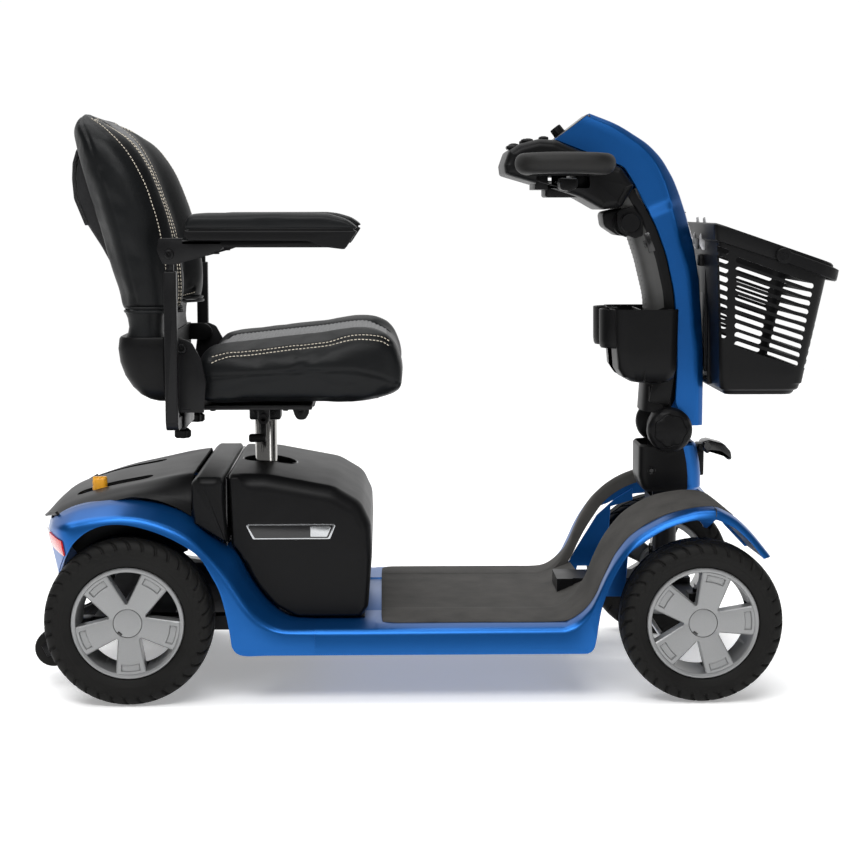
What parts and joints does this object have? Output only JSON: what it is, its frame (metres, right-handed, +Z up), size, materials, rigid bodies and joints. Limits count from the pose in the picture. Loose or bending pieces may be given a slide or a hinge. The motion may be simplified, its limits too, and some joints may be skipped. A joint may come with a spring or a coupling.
{
  "type": "mobility scooter",
  "caption": "Four-wheeled mobility scooter with swivel seat, folding armrests, tilting tiller, front basket, painted fenders and rubber deck mat",
  "frame": {"origin": "on the floor under the middle of the scooter's bounding box", "axes": "+X forward along the scooter, +Y to the rider's left, +Z up"},
  "size_m": [1.3398, 0.58, 0.9644],
  "materials": {
    "blue_paint": "satin metallic",
    "black_plastic": "satin moulded",
    "black_steel": "satin powder coat",
    "rubber_mat": "fine grain",
    "tyre_rubber": "matte",
    "wheel_silver": "satin silver paint",
    "black_leather": "grained",
    "black_fabric": "woven",
    "chrome": "polished",
    "zinc": "zinc plated",
    "cast_metal": "painted casting",
    "battery_case": "moulded",
    "lever_orange": "moulded",
    "lamp_red": "clear lens",
    "lens_clear": "clear lens",
    "grip_foam": "soft",
    "roller_rubber": "matte",
    "brass": "satin"
  },
  "bodies": {
    "chassis": {"rear_frame": "black_steel", "front_frame": "black_steel", "floor_pan": "blue_paint", "floor_mat": "rubber_mat", "rear_shroud": "blue_paint", "rear_cover": "black_plastic", "battery_pod": "black_plastic", "mid_cover": "black_plastic", "battery_left": "battery_case", "battery_right": "battery_case", "transaxle": "cast_metal", "drive_motor": "cast_metal", "tail_lights": "lamp_red", "anti_tip_bracket": "black_steel"},
    "front_wheel_left": {"front_tyre_left": "tyre_rubber", "front_rim_left": "wheel_silver"},
    "rear_wheel_left": {"rear_tyre_left": "tyre_rubber", "rear_rim_left": "wheel_silver"},
    "anti_tip_roller_left": {"anti_tip_wheel_left": "roller_rubber"},
    "knuckle_left": {"knuckle_left": "black_steel"},
    "arm_post_left": {"arm_post_left": "black_steel"},
    "armrest_left": {"arm_bracket_left": "black_steel", "arm_pad_left": "black_leather"},
    "front_wheel_right": {"front_tyre_right": "tyre_rubber", "front_rim_right": "wheel_silver"},
    "rear_wheel_right": {"rear_tyre_right": "tyre_rubber", "rear_rim_right": "wheel_silver"},
    "anti_tip_roller_right": {"anti_tip_wheel_right": "roller_rubber"},
    "knuckle_right": {"knuckle_right": "black_steel"},
    "arm_post_right": {"arm_post_right": "black_steel"},
    "armrest_right": {"arm_bracket_right": "black_steel", "arm_pad_right": "black_leather"},
    "track_rod": {"track_rod": "zinc"},
    "steering_column": {"steering_shaft": "black_steel", "lower_shroud": "black_plastic"},
    "tiller": {"tiller_frame": "black_steel", "tiller_front_cover": "blue_paint", "tiller_rear_cover": "black_plastic", "hinge_knobs": "black_plastic", "glove_box": "black_plastic", "console": "black_plastic", "handlebar": "grip_foam", "headlight": "lens_clear", "basket_bracket": "zinc"},
    "tilt_lever": {"tilt_lever": "black_plastic"},
    "throttle": {"throttle": "black_plastic"},
    "speed_dial": {"speed_dial": "black_plastic"},
    "key": {"key": "brass"},
    "horn_button": {"horn_button": "black_plastic"},
    "basket": {"basket": "black_plastic"},
    "basket_handle": {"basket_handle": "black_plastic"},
    "seat_post": {"seat_post": "chrome"},
    "swivel_block": {"swivel_block": "zinc"},
    "seat": {"seat_pan": "black_steel", "seat_cushion": "black_leather"},
    "swivel_lever": {"swivel_lever": "black_plastic"},
    "backrest": {"backrest_cushion": "black_leather", "backrest_shell": "black_plastic", "seat_pocket": "black_fabric"},
    "freewheel_lever": {"freewheel_lever": "lever_orange"}
  },
  "joints": [
    {"name": "steering_turn", "type": "hinge", "parent": "chassis", "child": "steering_column", "pos_m": [0.4141, 0, 0.2], "axis": [0, 0, 1], "range_deg": [-35, 35]},
    {"name": "knuckle_left_steer", "type": "hinge", "parent": "chassis", "child": "knuckle_left", "pos_m": [0.4371, 0.215, 0.132], "axis": [0, 0, 1], "range_deg": [-35, 35]},
    {"name": "front_wheel_left_spin", "type": "hinge", "parent": "knuckle_left", "child": "front_wheel_left", "pos_m": [0.4371, 0.242, 0.132], "axis": [0, 1, 0], "continuous": true},
    {"name": "rear_wheel_left_spin", "type": "hinge", "parent": "chassis", "child": "rear_wheel_left", "pos_m": [-0.4909, 0.242, 0.1365], "axis": [0, 1, 0], "continuous": true},
    {"name": "anti_tip_left_spin", "type": "hinge", "parent": "chassis", "child": "anti_tip_roller_left", "pos_m": [-0.6389, 0.11, 0.059], "axis": [0, 1, 0], "continuous": true},
    {"name": "knuckle_right_steer", "type": "hinge", "parent": "chassis", "child": "knuckle_right", "pos_m": [0.4371, -0.215, 0.132], "axis": [0, 0, 1], "range_deg": [-35, 35]},
    {"name": "front_wheel_right_spin", "type": "hinge", "parent": "knuckle_right", "child": "front_wheel_right", "pos_m": [0.4371, -0.242, 0.132], "axis": [0, 1, 0], "continuous": true},
    {"name": "rear_wheel_right_spin", "type": "hinge", "parent": "chassis", "child": "rear_wheel_right", "pos_m": [-0.4909, -0.242, 0.1365], "axis": [0, 1, 0], "continuous": true},
    {"name": "anti_tip_right_spin", "type": "hinge", "parent": "chassis", "child": "anti_tip_roller_right", "pos_m": [-0.6389, -0.11, 0.059], "axis": [0, 1, 0], "continuous": true},
    {"name": "track_rod_swing", "type": "hinge", "parent": "knuckle_right", "child": "track_rod", "pos_m": [0.3871, -0.215, 0.085], "axis": [0, 0, 1], "range_deg": [-35, 35]},
    {"name": "tiller_tilt", "type": "hinge", "parent": "steering_column", "child": "tiller", "pos_m": [0.4051, 0, 0.422], "axis": [0, -1, 0], "range_deg": [0, 25]},
    {"name": "tilt_lever_pull", "type": "hinge", "parent": "steering_column", "child": "tilt_lever", "pos_m": [0.4811, 0, 0.39], "axis": [0, -1, 0], "range_deg": [0, 15], "stiffness_Nm_per_rad": 2, "springref_deg": -5.73},
    {"name": "throttle_rock", "type": "hinge", "parent": "tiller", "child": "throttle", "pos_m": [0.2231, 0, 0.842], "axis": [0, 0, 1], "range_deg": [-15, 15], "stiffness_Nm_per_rad": 1.5},
    {"name": "speed_dial_turn", "type": "hinge", "parent": "tiller", "child": "speed_dial", "pos_m": [0.22249, -0.026, 0.92213], "axis": [-0.6084, 0, 0.7936], "range_deg": [0, 270]},
    {"name": "key_turn", "type": "hinge", "parent": "tiller", "child": "key", "pos_m": [0.22726, 0.02, 0.92578], "axis": [-0.6084, 0, 0.7936], "range_deg": [0, 90]},
    {"name": "horn_press", "type": "slide", "parent": "tiller", "child": "horn_button", "axis": [0, 0, -1], "range_m": [0, 0.002], "stiffness_N_per_m": 400, "springref_m": -0.001},
    {"name": "basket_lift", "type": "slide", "parent": "tiller", "child": "basket", "axis": [0, 0, 1], "range_m": [0, 0.06]},
    {"name": "basket_handle_swing", "type": "hinge", "parent": "basket", "child": "basket_handle", "pos_m": [0.5751, 0, 0.722], "axis": [0, -1, 0], "range_deg": [0, 150]},
    {"name": "seat_height", "type": "slide", "parent": "chassis", "child": "seat_post", "axis": [0, 0, 1], "range_m": [0, 0.075]},
    {"name": "seat_lift_off", "type": "slide", "parent": "seat_post", "child": "swivel_block", "axis": [0, 0, 1], "range_m": [0, 0.4]},
    {"name": "seat_swivel", "type": "hinge", "parent": "swivel_block", "child": "seat", "pos_m": [-0.2829, 0, 0.47], "axis": [0, 0, 1], "continuous": true},
    {"name": "swivel_lever_pull", "type": "hinge", "parent": "seat", "child": "swivel_lever", "pos_m": [-0.2829, -0.07, 0.443], "axis": [0, -1, 0], "range_deg": [0, 20], "stiffness_Nm_per_rad": 1, "springref_deg": -2.86},
    {"name": "backrest_fold", "type": "hinge", "parent": "seat", "child": "backrest", "pos_m": [-0.4029, 0, 0.575], "axis": [0, 1, 0], "range_deg": [0, 65]},
    {"name": "arm_width_left", "type": "slide", "parent": "seat", "child": "arm_post_left", "axis": [0, 1, 0], "range_m": [0, 0.05]},
    {"name": "armrest_left_fold", "type": "hinge", "parent": "arm_post_left", "child": "armrest_left", "pos_m": [-0.4149, 0.265, 0.727], "axis": [0, -1, 0], "range_deg": [0, 95]},
    {"name": "arm_width_right", "type": "slide", "parent": "seat", "child": "arm_post_right", "axis": [0, -1, 0], "range_m": [0, 0.05]},
    {"name": "armrest_right_fold", "type": "hinge", "parent": "arm_post_right", "child": "armrest_right", "pos_m": [-0.4149, -0.265, 0.727], "axis": [0, -1, 0], "range_deg": [0, 95]},
    {"name": "freewheel_pull", "type": "hinge", "parent": "chassis", "child": "freewheel_lever", "pos_m": [-0.5569, -0.1, 0.18], "axis": [0, 1, 0], "range_deg": [0, 22]}
  ],
  "couplings": [
    {"joint": "knuckle_left_steer", "follows": "steering_turn", "ratio": 1},
    {"joint": "knuckle_right_steer", "follows": "steering_turn", "ratio": 1},
    {"joint": "track_rod_swing", "follows": "steering_turn", "ratio": -1}
  ]
}
